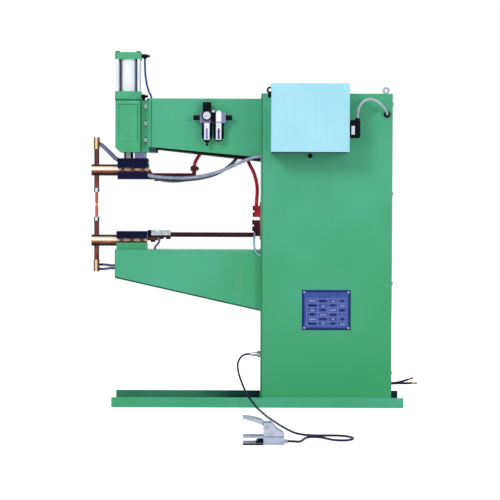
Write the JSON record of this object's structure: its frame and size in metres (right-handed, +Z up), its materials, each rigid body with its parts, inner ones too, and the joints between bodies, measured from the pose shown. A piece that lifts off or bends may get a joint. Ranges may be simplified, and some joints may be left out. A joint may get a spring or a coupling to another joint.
{
  "type": "spot welder",
  "caption": "Floor-standing pneumatic spot welder with long arms, air cylinder head, copper electrodes, control box and a foot switch on a cord.",
  "frame": {"origin": "on the floor, in the middle of the rectangle of the four anchor holes in the base rails", "axes": "+Z up, +X from the electrodes to the column, +Y to the rear side"},
  "size_m": [1.318, 1.359, 1.4221],
  "materials": {
    "green_enamel": "gloss enamel",
    "pale_blue_enamel": "satin enamel",
    "black_steel": "blackened steel",
    "bolt_steel": "zinc plated",
    "ground_steel": "hard chrome, ground",
    "cylinder_alloy": "anodised",
    "cast_alloy": "die cast",
    "copper": "drawn copper, heat tinted",
    "brass": "turned brass",
    "shunt_foil": "tinned copper foils",
    "red_sleeve": "sleeved flexible conductor",
    "grey_hose": "rubber hose",
    "black_plastic": "moulded",
    "cable_sheath": "rubber sheath",
    "insulating_board": "laminate",
    "core_steel": "varnished laminations",
    "clear_bowl": "guarded bowl",
    "plate_blue": "printed plate, bare of words",
    "pointer_red": "enamelled pointer"
  },
  "bodies": {
    "frame": {"base_front_rail": "green_enamel", "base_rear_rail": "green_enamel", "base_cross_members": "green_enamel", "column_shell": "green_enamel", "rear_cover": "green_enamel", "sheet_screws": "bolt_steel", "lifting_eyes": "bolt_steel", "nameplate": "plate_blue", "upper_arm": "green_enamel", "lower_arm": "green_enamel", "head_casting": "green_enamel", "head_bolts": "bolt_steel", "cylinder_bottom_cap": "cylinder_alloy", "cylinder_tube": "cylinder_alloy", "cylinder_top_cap": "cylinder_alloy", "tie_rods": "ground_steel", "flow_valves": "black_plastic", "solenoid_valve": "cast_alloy", "fixed_hoses": "grey_hose", "lower_clamp_cap": "black_steel", "lower_copper_arm": "copper", "lower_holder": "copper", "lower_tip": "copper", "lower_shunt": "shunt_foil", "lower_conductor": "copper", "conductor_bolts": "bolt_steel", "secondary_terminals": "copper", "terminal_board": "insulating_board", "upper_flex": "red_sleeve", "water_hoses": "grey_hose", "transformer_core": "core_steel", "transformer_windings": "copper", "control_box": "pale_blue_enamel", "control_box_cover": "pale_blue_enamel", "cable_fittings": "black_plastic", "control_cable": "grey_hose", "mains_leads": "cable_sheath", "frl_body": "cast_alloy", "frl_bowls": "clear_bowl", "pressure_gauge": "black_plastic", "footswitch_base": "cast_alloy", "treadle_pin": "bolt_steel", "pedal_cord": "cable_sheath"},
    "ram": {"piston_rod": "ground_steel", "guide_bar": "ground_steel", "upper_clamp_block": "black_steel", "upper_clamp_cap": "black_steel", "upper_clamp_bolts": "bolt_steel", "upper_copper_arm": "copper", "upper_holder": "copper", "upper_tip": "copper", "upper_bar": "black_steel", "upper_hose": "grey_hose"},
    "upper_valve_screw": {"upper_flow_screw": "black_plastic"},
    "lower_valve_screw": {"lower_flow_screw": "black_plastic"},
    "selector": {"panel_knob": "black_plastic"},
    "pressure_knob": {"regulator_knob": "black_plastic"},
    "pointer": {"gauge_pointer": "pointer_red"},
    "drain": {"drain_cock": "brass"},
    "foot_treadle": {"treadle": "cast_alloy"}
  },
  "joints": [
    {"name": "ram_slide", "type": "slide", "parent": "frame", "child": "ram", "axis": [0, 0, 1], "range_m": [0, 0.02], "deforming": ["upper_flex", "water_hoses"]},
    {"name": "treadle_press", "type": "hinge", "parent": "frame", "child": "foot_treadle", "pos_m": [0.024, -1.179, 0.062], "axis": [0, -1, 0], "range_deg": [0, 12], "stiffness_Nm_per_rad": 3, "springref_deg": -11.46},
    {"name": "pressure_turn", "type": "hinge", "parent": "frame", "child": "pressure_knob", "pos_m": [-0.2045, -0.122, 1.19], "axis": [0, 0, 1], "range_deg": [-540, 540]},
    {"name": "gauge_turn", "type": "hinge", "parent": "frame", "child": "pointer", "pos_m": [-0.2045, -0.15, 1.16], "axis": [0, 1, 0], "range_deg": [0, 270]},
    {"name": "selector_turn", "type": "hinge", "parent": "frame", "child": "selector", "pos_m": [0.045, -0.215, 1.24], "axis": [-1, 0, 0], "range_deg": [0, 270]},
    {"name": "upper_valve_turn", "type": "hinge", "parent": "frame", "child": "upper_valve_screw", "pos_m": [-0.444, 0, 1.406], "axis": [1, 0, 0], "range_deg": [-720, 720]},
    {"name": "lower_valve_turn", "type": "hinge", "parent": "frame", "child": "lower_valve_screw", "pos_m": [-0.45, 0, 1.2435], "axis": [1, 0, 0], "range_deg": [-720, 720]},
    {"name": "drain_push", "type": "slide", "parent": "frame", "child": "drain", "axis": [0, 0, 1], "range_m": [0, 0.003], "stiffness_N_per_m": 300, "springref_m": -0.002}
  ]
}
